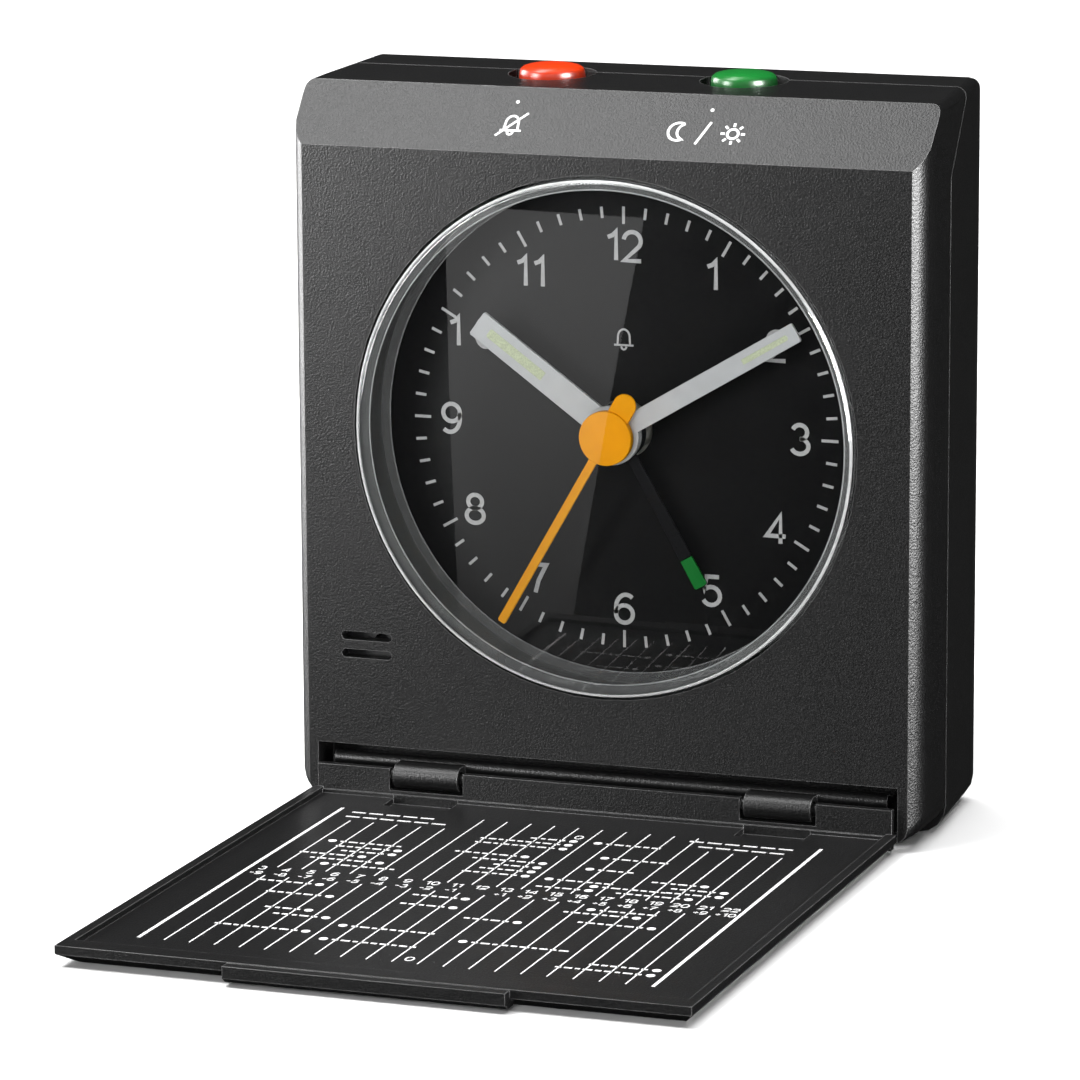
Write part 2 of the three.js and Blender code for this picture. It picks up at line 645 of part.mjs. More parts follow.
function tactSwitch(x) {
  const half = 3;
  return join(
    box(x - half, x + half, button.y - half, button.y + half, 68.7, 70.6),
    rodZ(1.7, 70.5, 71.2, x, button.y, 20),
  );
}

add('off_button', pushButton(-button.x), finishes.red);
add('snooze_button', pushButton(button.x), finishes.green);
add('switch_board', box(-17, 17, 10.2, 19.5, 67.2, 68.4), finishes.board);
add('off_switch', tactSwitch(-button.x), finishes.blackPlain);
add('snooze_switch', tactSwitch(button.x), finishes.blackPlain);

add('buzzer', cut(
  rod(buzzer.radius, 2.3, 6.4, buzzer.x, buzzer.z, 32), rod(0.9, 2, 4, buzzer.x, buzzer.z, 16),
), finishes.blackPlain);

// ---------- battery bay ----------

function batteryCell() {
  const { radius, y, z, from, to } = battery;
  return join(rodX(radius, from, to, y, z, 28), rodX(2.7, to - 0.5, to + 1.2, y, z));
}

add('battery_cell', batteryCell(), finishes.cell);
add('contact_plate', box(27.6, 28.2, battery.y - 5, battery.y + 5, 5, 17), finishes.steel);

// A conical wire spring, widest where it is fixed and standing off the end wall.
class ConeCoil extends THREE.Curve {
  getPoint(t) {
    const angle = t * Math.PI * 2 * 3.5;
    const radius = 4.5 - 2.2 * t;
    const x = -29.4 + 4.8 * t;
    return new THREE.Vector3(x, battery.y + radius * Math.cos(angle), battery.z + radius * Math.sin(angle));
  }
}

const wire = new THREE.Shape();
wire.absarc(0, 0, 0.35, 0, Math.PI * 2, false);
const springWire = new THREE.ExtrudeGeometry(wire, { extrudePath: new ConeCoil(), steps: 42, curveSegments: 2 });
add('contact_spring', solid(springWire), finishes.steel);

function batteryDoor() {
  const plate = box(-door.halfWidth, door.halfWidth, door.innerY, door.outerY, door.bottom, door.top);
  const ribs = [0, 1, 2, 3].map((i) => box(-6, 6, door.outerY - 0.1, door.outerY + 0.5, 12 + i * 1.6, 12.8 + i * 1.6));
  return join(plate, ...ribs);
}

add('battery_door', batteryDoor(), finishes.blackCase);

// ---------- the clock's own frame ----------

const assembly = new THREE.Group();
clock.position.y = -(cover.tabY + knob.backY) / 2;
assembly.add(clock);

export default assembly;
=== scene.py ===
import json
import math

import bmesh
import bpy
from mathutils import Matrix, Vector

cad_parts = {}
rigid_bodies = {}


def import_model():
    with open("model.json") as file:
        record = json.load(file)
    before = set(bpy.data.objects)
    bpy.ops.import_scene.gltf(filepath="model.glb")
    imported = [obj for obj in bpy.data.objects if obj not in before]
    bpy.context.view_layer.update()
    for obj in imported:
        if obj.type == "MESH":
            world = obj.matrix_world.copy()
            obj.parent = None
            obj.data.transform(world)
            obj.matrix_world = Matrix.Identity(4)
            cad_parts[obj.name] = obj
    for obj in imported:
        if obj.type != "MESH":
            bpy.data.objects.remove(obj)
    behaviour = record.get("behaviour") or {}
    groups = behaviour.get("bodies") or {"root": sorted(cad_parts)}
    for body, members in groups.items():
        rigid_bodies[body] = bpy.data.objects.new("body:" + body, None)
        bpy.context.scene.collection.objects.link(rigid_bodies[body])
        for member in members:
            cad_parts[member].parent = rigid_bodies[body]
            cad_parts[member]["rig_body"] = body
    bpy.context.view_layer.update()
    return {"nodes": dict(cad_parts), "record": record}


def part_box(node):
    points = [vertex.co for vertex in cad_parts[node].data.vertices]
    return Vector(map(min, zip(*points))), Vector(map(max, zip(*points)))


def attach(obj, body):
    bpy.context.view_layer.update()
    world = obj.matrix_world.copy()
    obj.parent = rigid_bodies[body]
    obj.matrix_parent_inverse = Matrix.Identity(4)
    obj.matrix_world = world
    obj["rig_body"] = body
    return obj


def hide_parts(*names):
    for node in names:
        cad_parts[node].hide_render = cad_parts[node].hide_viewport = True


# Looks of a travel alarm clock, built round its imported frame. Lengths below are millimetres in the
# clock's own frame, with Y = 0 on the housing's front face, and point() turns them into the row frame.
# The lights, the card and the floor are placed in metres, in the row frame itself.

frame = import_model()

MM = 0.001
face_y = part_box("front_housing")[0].y
lens_low, lens_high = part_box("lens")
dial_z = (lens_low.z + lens_high.z) / 2 / MM
off_low, off_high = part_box("off_button")
snooze_low, snooze_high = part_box("snooze_button")
button_x = (snooze_low.x + snooze_high.x) / 2 / MM
button_y = ((off_low.y + off_high.y) / 2 - face_y) / MM
slot_of = {entry["node"]: entry["material_slot"] for entry in frame["record"]["subparts"]}


def point(x, y, z):
    return Vector((x * MM, face_y + y * MM, z * MM))


# ---------- material nodes ----------


def add_node(material, kind, inputs=None, **settings):
    node = material.node_tree.nodes.new(kind)
    for name, value in settings.items():
        setattr(node, name, value)
    for name, value in (inputs or {}).items():
        node.inputs[name].default_value = value
    return node


def join(material, source, target):
    material.node_tree.links.new(source, target)


def object_point(material):
    return add_node(material, "ShaderNodeTexCoord").outputs["Object"]


def position(material, axis):
    """The surface point's coordinate along one axis, in metres."""
    parts = add_node(material, "ShaderNodeSeparateXYZ")
    join(material, object_point(material), parts.inputs["Vector"])
    return parts.outputs[axis]


def noise(material, size, detail=3.0, roughness=0.55):
    """Noise whose blotches measure size millimetres, from 0 to 1."""
    inputs = {"Scale": 1 / (size * MM), "Detail": detail, "Roughness": roughness}
    texture = add_node(material, "ShaderNodeTexNoise", inputs)
    join(material, object_point(material), texture.inputs["Vector"])
    return texture.outputs["Fac"]


def cells(material, size):
    """Rounded pebbles about size millimetres across."""
    inputs = {"Scale": 1 / (size * MM), "Smoothness": 0.6}
    texture = add_node(material, "ShaderNodeTexVoronoi", inputs, feature="SMOOTH_F1")
    join(material, object_point(material), texture.inputs["Vector"])
    return texture.outputs["Distance"]


def brushed(material, fine, long):
    """Streaks along X, fine millimetres wide and long millimetres long."""
    stretch = (1 / (long * MM), 1 / (fine * MM), 1 / (fine * MM))
    mapping = add_node(material, "ShaderNodeMapping", {"Scale": stretch})
    texture = add_node(material, "ShaderNodeTexNoise", {"Scale": 1.0, "Detail": 2.0})
    join(material, object_point(material), mapping.inputs["Vector"])
    join(material, mapping.outputs["Vector"], texture.inputs["Vector"])
    return texture.outputs["Fac"]


def ranged(material, source, low, high, first=0.0, last=1.0):
    """Turns low into first and high into last, and holds those values beyond them."""
    node = add_node(material, "ShaderNodeMapRange", {
        "From Min": low, "From Max": high, "To Min": first, "To Max": last,
    })
    join(material, source, node.inputs["Value"])
    return node.outputs["Result"]


def multiplied(material, first, second):
    node = add_node(material, "ShaderNodeMath", operation="MULTIPLY")
    join(material, first, node.inputs[0])
    join(material, second, node.inputs[1])
    return node.outputs[0]


def blended(material, factor, first, second):
    """Colour first where factor is 0 and second where it is 1. Either may be a socket."""
    node = add_node(material, "ShaderNodeMix", data_type="RGBA")
    join(material, factor, node.inputs["Factor"])
    for socket, value in ((node.inputs[6], first), (node.inputs[7], second)):
        if isinstance(value, bpy.types.NodeSocket):
            join(material, value, socket)
        else:
            socket.default_value = (*value, 1)
    return node.outputs[2]


def edge_mask(material, radius):
    """Near 1 within radius millimetres of an edge, and 0 on open surfaces."""
    rounded = add_node(material, "ShaderNodeBevel", {"Radius": radius * MM}, samples=4)
    geometry = add_node(material, "ShaderNodeNewGeometry")
    product = add_node(material, "ShaderNodeVectorMath", operation="DOT_PRODUCT")
    join(material, rounded.outputs["Normal"], product.inputs[0])
    join(material, geometry.outputs["Normal"], product.inputs[1])
    return ranged(material, product.outputs["Value"], 0.995, 0.9)


def bump(material, height, depth, below=None):
    """Relief depth millimetres deep from a 0 to 1 height."""
    node = add_node(material, "ShaderNodeBump", {"Strength": 1.0, "Distance": depth * MM})
    join(material, height, node.inputs["Height"])
    if below:
        join(material, below, node.inputs["Normal"])
    return node.outputs["Normal"]


def start(name, colour, roughness, metallic=0.0, ior=1.45):
    material = bpy.data.materials.new(name)
    material.use_nodes = True
    shader = material.node_tree.nodes["Principled BSDF"]
    shader.inputs["Base Color"].default_value = (*colour, 1)
    shader.inputs["Roughness"].default_value = roughness
    shader.inputs["Metallic"].default_value = metallic
    shader.inputs["IOR"].default_value = ior
    return material, shader


def feed(material, shader, **sources):
    """Joins sources named colour, roughness and normal to a shader."""
    sockets = {"colour": "Base Color", "roughness": "Roughness", "normal": "Normal"}
    for kind, source in sources.items():
        join(material, source, shader.inputs[sockets[kind]])


def scaled(colour, factor):
    return tuple(min(1.0, part * factor) for part in colour)


# ---------- materials ----------

# Grey for the edges of grained plastic: partly wear, partly a painted highlight where edges catch light.
EDGE_WEAR_AND_HIGHLIGHT_GREY = (0.12, 0.12, 0.12)
CLEAR_TINT = (0.97, 0.975, 0.975, 1)


def grained_plastic(name, colour, roughness, pebble, relief, ior):
    """Moulded plastic with a spark-eroded grain, greyed along its edges: partly wear, partly a painted
    highlight.
    """
    material, shader = start(name, colour, roughness, ior=ior)
    # Edges greyed in broken lines: partly wear, partly a painted highlight.
    edge_breakup = ranged(material, noise(material, 1.6, 6), 0.3, 0.5, 0.35, 1.0)
    worn_and_highlit_edges = multiplied(material, edge_mask(material, 0.14), edge_breakup)
    mottle = ranged(material, noise(material, 9), 0.35, 0.65)
    specks = ranged(material, noise(material, pebble, 2), 0.35, 0.65)
    base = blended(material, mottle, scaled(colour, 0.86), scaled(colour, 1.16))
    base = blended(material, specks, base, scaled(colour, 1.9))
    coarse = bump(material, cells(material, pebble), relief)
    feed(
        material, shader,
        colour=blended(material, worn_and_highlit_edges, base, EDGE_WEAR_AND_HIGHLIGHT_GREY),
        roughness=ranged(material, specks, 0.0, 1.0, roughness - 0.04, roughness + 0.05),
        normal=bump(material, noise(material, pebble * 0.42, 2), relief * 0.7, coarse),
    )
    return material


def satin_plastic(name, colour, roughness, ior=1.45, relief=0.004):
    """Smooth moulded plastic with a faint orange-peel and handling marks."""
    material, shader = start(name, colour, roughness, ior=ior)
    mottle = ranged(material, noise(material, 5), 0.3, 0.7)
    marks = noise(material, 0.9, 5, 0.7)
    feed(
        material, shader,
        colour=blended(material, mottle, scaled(colour, 0.93), scaled(colour, 1.06)),
        roughness=ranged(material, marks, 0.35, 0.7, roughness * 0.9, roughness * 1.25),
        normal=bump(material, noise(material, 0.35, 3), relief),
    )
    return material


def button_plastic(name, colour):
    """Glossy translucent-looking button with a soft bloom and fine scratches."""
    material, shader = start(name, colour, 0.32, ior=1.45)
    shader.inputs["Coat Weight"].default_value = 0.2
    shader.inputs["Coat Roughness"].default_value = 0.2
    depth = ranged(material, noise(material, 2.8), 0.3, 0.7)
    scratches = noise(material, 0.18, 6, 0.8)
    feed(
        material, shader,
        colour=blended(material, depth, scaled(colour, 0.86), scaled(colour, 1.08)),
        roughness=ranged(material, scratches, 0.45, 0.75, 0.28, 0.42),
        normal=bump(material, noise(material, 0.6, 2), 0.006),
    )
    return material


def painted_metal(name, colour, roughness):
    """Sprayed hand: a fine, even paint film over stamped metal."""
    material, shader = start(name, colour, roughness, ior=1.3)
    film = ranged(material, noise(material, 1.7, 4), 0.3, 0.7)
    spray = noise(material, 0.25, 3)
    feed(
        material, shader,
        colour=blended(material, film, scaled(colour, 0.94), scaled(colour, 1.03)),
        roughness=ranged(material, spray, 0.3, 0.7, roughness - 0.05, roughness + 0.06),
        normal=bump(material, noise(material, 0.14, 2), 0.004),
    )
    return material


def metal(name, colour, roughness):
    """Drawn or rolled metal with streaks along X and dull patches."""
    material, shader = start(name, colour, roughness, metallic=1.0)
    streaks = brushed(material, 0.08, 3)
    patches = ranged(material, noise(material, 1.4, 5), 0.4, 0.7)
    feed(
        material, shader,
        colour=blended(material, patches, colour, scaled(colour, 0.78)),
        roughness=ranged(material, streaks, 0.3, 0.7, roughness * 0.75, roughness * 1.35),
        normal=bump(material, streaks, 0.004),
    )
    return material


def wound_wire(name, colour):
    """Enamelled wire wound in close turns about X, darker in the grooves between the turns as painted
    shade.
    """
    material, shader = start(name, colour, 0.3, metallic=0.7)
    inputs = {"Scale": 1 / (0.9 * MM), "Distortion": 0.4}
    turns = add_node(material, "ShaderNodeTexWave", inputs, bands_direction="X")
    join(material, object_point(material), turns.inputs["Vector"])
    feed(
        material, shader,
        # Darker in the grooves between the turns: painted shade.
        colour=blended(material, turns.outputs["Fac"], scaled(colour, 0.45), colour),
        roughness=ranged(material, noise(material, 0.8), 0.3, 0.7, 0.24, 0.42),
        normal=bump(material, turns.outputs["Fac"], 0.04),
    )
    return material


def circuit(name, colour, copper):
    """Solder mask with tracks and pads showing under it."""
    material, shader = start(name, colour, 0.4, ior=1.5)
    grid = add_node(material, "ShaderNodeTexBrick", {
        "Scale": 1 / (4.5 * MM), "Mortar Size": 0.06, "Color1": (1, 1, 1, 1), "Color2": (1, 1, 1, 1),
        "Mortar": (0, 0, 0, 1),
    })
    join(material, object_point(material), grid.inputs["Vector"])
    tone = ranged(material, noise(material, 1.5, 4), 0.35, 0.65)
    mask = blended(material, tone, scaled(colour, 0.8), scaled(colour, 1.15))
    feed(
        material, shader,
        colour=blended(material, grid.outputs["Fac"], mask, copper),
        roughness=ranged(material, tone, 0.0, 1.0, 0.32, 0.48),
        normal=bump(material, grid.outputs["Fac"], 0.03),
    )
    return material


def shrink_sleeve(name, dark, light, edge_x):
    """A cell's printed sleeve: one colour, then a lighter band past edge_x, under a tight film."""
    material, shader = start(name, dark, 0.3, ior=1.5)
    shader.inputs["Coat Weight"].default_value = 0.5
    band = ranged(material, position(material, "X"), edge_x * MM, edge_x * MM + 0.1 * MM)
    creases = brushed(material, 0.7, 9)
    feed(
        material, shader,
        colour=blended(material, band, dark, light),
        roughness=ranged(material, creases, 0.3, 0.7, 0.22, 0.36),
        normal=bump(material, creases, 0.02),
    )
    return material


def see_through(material, body, share):
    """Ends a material in clear passing light, of which body takes a share."""
    passing = add_node(material, "ShaderNodeBsdfTransparent", {"Color": CLEAR_TINT})
    mixed = add_node(material, "ShaderNodeMixShader")
    join(material, share, mixed.inputs["Fac"])
    join(material, passing.outputs["BSDF"], mixed.inputs[1])
    join(material, body.outputs["BSDF"], mixed.inputs[2])
    output = material.node_tree.nodes["Material Output"]
    join(material, mixed.outputs["Shader"], output.inputs["Surface"])
    return material


def clear_lens(name, mirror_y):
    """Clear window: light goes straight through, and its front, as far as mirror_y, mirrors a little.

    The back doesn't mirror, because there the Fresnel node would mirror everything at a steep angle.
    """
    material, shader = start(name, (1, 1, 1), 0.02)
    material.node_tree.nodes.remove(shader)
    mirror = add_node(material, "ShaderNodeBsdfAnisotropic", {"Color": (1, 1, 1, 1)})
    feed(
        material, mirror,
        roughness=ranged(material, noise(material, 7, 3), 0.35, 0.75, 0.008, 0.02),
        normal=bump(material, noise(material, 30, 1), 0.0006),
    )
    fresnel = add_node(material, "ShaderNodeFresnel", {"IOR": 1.55})
    half_step = 0.1 * MM
    depth = position(material, "Y")
    front = ranged(material, depth, mirror_y - half_step, mirror_y + half_step, 1.0, 0.0)
    return see_through(material, mirror, multiplied(material, fresnel.outputs["Fac"], front))


def frosted_clear(name, body, roughness):
    """Clear plastic seen edge on: part see-through, part a pale body that stands in for the light the clear
    edge gathers, a painted highlight.
    """
    material, shader = start(name, (0.86, 0.87, 0.87), roughness, ior=1.49)
    feed(
        material, shader,
        roughness=ranged(material, noise(material, 3.5, 2), 0.3, 0.7, roughness, roughness * 1.3),
        normal=bump(material, noise(material, 3.0, 1), 0.003),
    )
    # The pale share is a painted highlight, not a colour the clear plastic has.
    highlight_share = ranged(material, noise(material, 2.2, 4), 0.3, 0.7, body * 0.85, min(1.0, body * 1.15))
    return see_through(material, shader, highlight_share)


def luminous(name, colour):
    """Phosphor paint: chalky, uneven and a little grainy."""
    material, shader = start(name, colour, 0.75, ior=1.3)
    grains = ranged(material, noise(material, 0.16, 3), 0.35, 0.65)
    feed(
        material, shader,
        colour=blended(material, grains, scaled(colour, 0.84), scaled(colour, 1.08)),
        roughness=ranged(material, grains, 0.0, 1.0, 0.65, 0.85),
        normal=bump(material, grains, 0.02),
    )
    return material


def printed_ink(name, colour):
    """Screen-printed ink: thin, slightly uneven in cover, matt."""
    material, shader = start(name, colour, 0.55, ior=1.4)
    cover = ranged(material, noise(material, 0.3, 4), 0.35, 0.7)
    feed(
        material, shader,
        colour=blended(material, cover, scaled(colour, 0.86), colour),
        roughness=ranged(material, cover, 0.0, 1.0, 0.48, 0.62),
        normal=bump(material, noise(material, 0.12, 2), 0.003),
    )
    return material


def pale_floor(name):
    material, shader = start(name, (0.86, 0.86, 0.86), 0.7, ior=1.3)
    shader.inputs["Specular IOR Level"].default_value = 0
    paper = ranged(material, noise(material, 40, 2), 0.3, 0.7)
    feed(material, shader, colour=blended(material, paper, (0.85, 0.85, 0.85), (0.88, 0.88, 0.88)))
    return material


cell_band_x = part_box("battery_cell")[0].x / MM + 12
mirror_limit = lens_low.y + 0.75 * MM
materials = {
    "case_black": grained_plastic("case_black", (0.004, 0.004, 0.0041), 0.34, 0.2, 0.019, 1.4),
    "knob_black": grained_plastic("knob_black", (0.014, 0.014, 0.0145), 0.4, 0.2, 0.008, 1.45),
    "lens_clear": clear_lens("lens_clear", mirror_limit),
    "dial_black": satin_plastic("dial_black", (0.009, 0.009, 0.0093), 0.55, 1.3, 0.0012),
    "dial_light": satin_plastic("dial_light", (0.78, 0.8, 0.76), 0.3),
    "hand_black": painted_metal("hand_black", (0.012, 0.012, 0.013), 0.32),
    "hand_green": painted_metal("hand_green", (0.006, 0.22, 0.03), 0.4),
    "hand_silver": painted_metal("hand_silver", (0.62, 0.63, 0.64), 0.36),
    "lume": luminous("lume", (0.66, 0.72, 0.5)),
    "hand_yellow": painted_metal("hand_yellow", (1.0, 0.41, 0.0), 0.6),
    "button_red": button_plastic("button_red", (0.62, 0.035, 0.003)),
    "button_green": button_plastic("button_green", (0.006, 0.15, 0.022)),
    "nylon": satin_plastic("nylon", (0.78, 0.76, 0.7), 0.5),
    "brass": metal("brass", (0.72, 0.5, 0.2), 0.3),
    "steel": metal("steel", (0.6, 0.61, 0.63), 0.3),
    "copper_wire": wound_wire("copper_wire", (0.62, 0.2, 0.07)),
    "circuit_green": circuit("circuit_green", (0.012, 0.11, 0.045), (0.3, 0.26, 0.08)),
    "switch_black": satin_plastic("switch_black", (0.018, 0.018, 0.019), 0.45),
    "cell_sleeve": shrink_sleeve("cell_sleeve", (0.03, 0.09, 0.2), (0.7, 0.7, 0.68), cell_band_x),
}
dial_ink = printed_ink("print_light", (0.6, 0.6, 0.6))
white_ink = printed_ink("print_white", (0.8, 0.8, 0.8))

for node, slot in slot_of.items():
    node_mesh = frame["nodes"][node].data
    node_mesh.materials.clear()
    node_mesh.materials.append(materials[slot])


# ---------- mesh helpers ----------

SHARP = 35           # degrees between two faces past which their edge counts as one
JOINED_SHARP = 60    # the same for CAD shapes, whose curves are flat facets


def piece(name, mesh, body, slot, replaced=(), material=None):
    """A new object in the scene that rides on a body and takes a material slot."""
    made = bpy.data.objects.new(name, mesh)
    bpy.context.scene.collection.objects.link(made)
    mesh.materials.clear()
    mesh.materials.append(material or materials[slot])
    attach(made, body)
    if replaced:
        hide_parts(*replaced)
    return made


def smooth(mesh, corner):
    mesh.shade_smooth()
    mesh.set_sharp_from_angle(angle=math.radians(corner))


def rounded_edges(made, width, segments=3):
    """Real rounded edges where two faces meet sharply."""
    bevel = made.modifiers.new("rounded edges", "BEVEL")
    bevel.width = width * MM
    bevel.segments = segments
    bevel.limit_method = "ANGLE"
    bevel.angle_limit = math.radians(SHARP)
    bevel.use_clamp_overlap = True
    weighted = made.modifiers.new("flat faces stay flat", "WEIGHTED_NORMAL")
    weighted.keep_sharp = True


def softened(node, name, width):
    """A detailed stand-in for a CAD node: its faces joined up and its edges rounded off."""
    source = frame["nodes"][node]
    mesh = bpy.data.meshes.new(name)
    shape = bmesh.new()
    shape.from_mesh(source.data)
    for layer in list(shape.loops.layers.uv.values()):
        shape.loops.layers.uv.remove(layer)
    bmesh.ops.remove_doubles(shape, verts=shape.verts, dist=0.002 * MM)
    bmesh.ops.dissolve_limit(
        shape, angle_limit=math.radians(0.5), verts=shape.verts, edges=shape.edges,
    )
    shape.to_mesh(mesh)
    shape.free()
    if "custom_normal" in mesh.attributes:
        mesh.attributes.remove(mesh.attributes["custom_normal"])
    smooth(mesh, JOINED_SHARP)
    made = piece(name, mesh, source["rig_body"], slot_of[node], [node])
    rounded_edges(made, width)


def filleted(outline, radius):
    """An open outline with its inner corners rounded."""
    steps = 4
    done = [Vector(outline[0])]
    for before, corner, after in zip(outline, outline[1:], outline[2:]):
        before, corner, after = Vector(before), Vector(corner), Vector(after)
        back, on = before - corner, after - corner
        reach = min(radius, back.length * 0.45, on.length * 0.45)
        first, last = corner + back.normalized() * reach, corner + on.normalized() * reach
        for i in range(steps + 1):
            t = i / steps
            done.append(first * (1 - t) ** 2 + corner * 2 * t * (1 - t) + last * t ** 2)
    done.append(Vector(outline[-1]))
    return done


def closed_mesh(name, shape):
    bmesh.ops.recalc_face_normals(shape, faces=shape.faces)
    mesh = bpy.data.meshes.new(name)
    shape.to_mesh(mesh)
    shape.free()
    smooth(mesh, SHARP)
    return mesh


def ring(shape, radius, height, place, segments):
    """A ring of corners, or one corner where the radius is nothing."""
    if radius < 1e-6:
        return [shape.verts.new(place(0, 0, height))]
    angles = [2 * math.pi * i / segments for i in range(segments)]
    return [shape.verts.new(place(radius * math.cos(a), radius * math.sin(a), height)) for a in angles]


def turned(name, profile, place, segments):
    """A turned mesh from (radius, height) points. place(a, b, height) says where a point goes."""
    shape = bmesh.new()
    rings = [ring(shape, radius, height, place, segments) for radius, height in profile]
    for low, high in zip(rings, rings[1:]):
        for i in range(segments):
            j = (i + 1) % segments
            corners = [low[i % len(low)], low[j % len(low)], high[j % len(high)], high[i % len(high)]]
            distinct = list(dict.fromkeys(corners))
            if len(distinct) > 2:
                shape.faces.new(distinct)
    return closed_mesh(name, shape)


def about_dial(a, b, height):
    return point(a, height, dial_z + b)


def extruded(shape, outline, y0, y1, place):
    """Adds a plate to shape: an outline in two axes, from depth y0 to y1."""
    front = [shape.verts.new(place(a, b, y0)) for a, b in outline]
    back = [shape.verts.new(place(a, b, y1)) for a, b in outline]
    shape.faces.new(front)
    shape.faces.new(back[::-1])
    for i in range(len(outline)):
        j = (i + 1) % len(outline)
        shape.faces.new([front[i], front[j], back[j], back[i]])


def bar(width, start_at, end_at, tip_width=None):
    """A hand's outline across and along its length, with its corners cut at the tip."""
    a, b, cut = width / 2, (tip_width or width) / 2, 0.16
    return [
        (-a, start_at), (a, start_at), (b, end_at - cut), (b - cut, end_at), (cut - b, end_at),
        (-b, end_at - cut),
    ]


def disc(radius, centre=0.0, count=72):
    angles = [2 * math.pi * i / count for i in range(count)]
    return [(radius * math.cos(a), centre + radius * math.sin(a)) for a in angles]


def pointing(node):
    """A hand's angle clockwise from twelve, from its furthest corners."""
    offsets = [(v.co.x, v.co.z - dial_z * MM) for v in frame["nodes"][node].data.vertices]
    reach = max(math.hypot(*offset) for offset in offsets)
    tips = [offset for offset in offsets if math.hypot(*offset) > reach - 0.02 * MM]
    return math.atan2(sum(x for x, _ in tips), sum(z for _, z in tips))


def hand(name, node, plates, slot, body, angle, edge=0.05):
    """A flat hand from plates of (outline, front, back), turned to its angle."""
    def place(a, b, y):
        across = a * math.cos(angle) + b * math.sin(angle)
        up = b * math.cos(angle) - a * math.sin(angle)
        return point(across, y, dial_z + up)

    shape = bmesh.new()
    for outline, y0, y1 in plates:
        extruded(shape, outline, y0, y1, place)
    made = piece(name, closed_mesh(name, shape), body, slot, [node])
    rounded_edges(made, edge, segments=2)


# ---------- housing, hinge and cover ----------

# CAD node, the name of its stand-in, and the rounding of its edges.
for node, name, width in (
    ("front_housing", "front_shell", 0.14),
    ("rear_housing", "rear_shell", 0.16),
    ("front_cover", "cover_leaf", 0.12),
    ("hinge_bar", "hinge_rail", 0.14),
    ("battery_door", "battery_hatch", 0.16),
    ("time_knob", "time_knurl", 0.1),
    ("alarm_knob", "alarm_knurl", 0.1),
    ("case_screw_top_left", "screw_top_left", 0.06),
    ("case_screw_top_right", "screw_top_right", 0.06),
    ("case_screw_low_left", "screw_low_left", 0.06),
    ("case_screw_low_right", "screw_low_right", 0.06),
):
    softened(node, name, width)

# ---------- lens and dial ----------

LENS_SEGMENTS = 160
lens_radius = (lens_high.x - lens_low.x) / 2 / MM
lens_front = (lens_low.y - face_y) / MM
lens_back = (lens_high.y - face_y) / MM
window_thickness = 1.0
window_inset = 0.05
skirt = 1.1
chamfer = 0.5
inner_face = lens_front + window_thickness
skirt_front = inner_face + 0.02
window_profile = filleted([
    (0, lens_front),
    (lens_radius - chamfer, lens_front),
    (lens_radius - window_inset, lens_front + chamfer),
    (lens_radius - window_inset, inner_face),
    (0, inner_face),
], 0.18)
skirt_profile = filleted([
    (lens_radius - skirt, skirt_front),
    (lens_radius, skirt_front),
    (lens_radius, lens_back),
    (lens_radius - skirt, lens_back),
    (lens_radius - skirt, skirt_front),
], 0.08)


def lens_piece(name, profile, material=None):
    mesh = turned(name, profile, about_dial, LENS_SEGMENTS)
    piece(name, mesh, "case", "lens_clear", ["lens"], material)


def lens_line(name, radius, height, thickness, body):
    """A thin pale ring, a painted highlight where an edge of the lens gathers light."""
    angles = [math.radians(30 * i) for i in range(13)]
    profile = [(radius + thickness * math.cos(a), height + thickness * math.sin(a)) for a in angles]
    lens_piece(name, profile, frosted_clear(name, body, 0.15))


lens_piece("lens_window", window_profile)
# The skirt and the three thin rings are partly pale: painted highlight where the clear edges gather light.
lens_piece("lens_skirt", skirt_profile, frosted_clear("lens_skirt_highlight", 0.14, 0.2))
lens_line("lens_chamfer_highlight", lens_radius - chamfer / 2, lens_front + chamfer / 2, 0.17, 0.45)
lens_line("lens_inner_highlight", lens_radius - skirt - 0.1, inner_face + 0.12, 0.08, 0.4)
lens_line("lens_foot_highlight", lens_radius - skirt - 0.09, lens_back - 0.1, 0.08, 0.22)

dial_low, dial_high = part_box("dial_plate")
dial_front = (dial_low.y - face_y) / MM
dial_back = (dial_high.y - face_y) / MM
arbor_hole = 3.1
dial_profile = [
    (arbor_hole, dial_front), (lens_radius, dial_front), (lens_radius, dial_back), (arbor_hole, dial_back),
    (arbor_hole, dial_front),
]
dial_mesh = turned("dial_face", dial_profile, about_dial, 128)
piece("dial_face", dial_mesh, "case", "dial_black", ["dial_plate"])

# ---------- hands ----------

hour_angle = pointing("hour_hand_lume")
minute_angle = pointing("minute_hand_lume")
second_angle = pointing("second_hand")
alarm_angle = pointing("alarm_hand_tip")

hand("alarm_pointer", "alarm_hand", [
    (bar(1.0, 0, 14.8, 1.4), 5, 5.35),
    (disc(3), 5.02, 5.33),
], "hand_black", "alarm", alarm_angle)
hand("alarm_pointer_tip", "alarm_hand_tip", [
    (bar(1.4, 14.9, 18.2, 1.5), 5, 5.35),
], "hand_green", "alarm", alarm_angle)
hand("hour_pointer", "hour_hand", [
    (bar(2.9, 0, 18.5), 3.6, 4),
    (disc(3), 3.62, 3.98),
], "hand_silver", "hour", hour_angle)
hand("hour_pointer_lume", "hour_hand_lume", [
    (bar(1.05, 9.5, 16.9), 3.56, 3.9),
], "lume", "hour", hour_angle)
hand("minute_pointer", "minute_hand", [
    (bar(2.1, 0, 23.3), 2.5, 2.9),
    (disc(3.1), 2.52, 2.88),
], "hand_silver", "minute", minute_angle)
hand("minute_pointer_lume", "minute_hand_lume", [
    (bar(0.6, 16.6, 22.2), 2.46, 2.8),
], "lume", "minute", minute_angle)
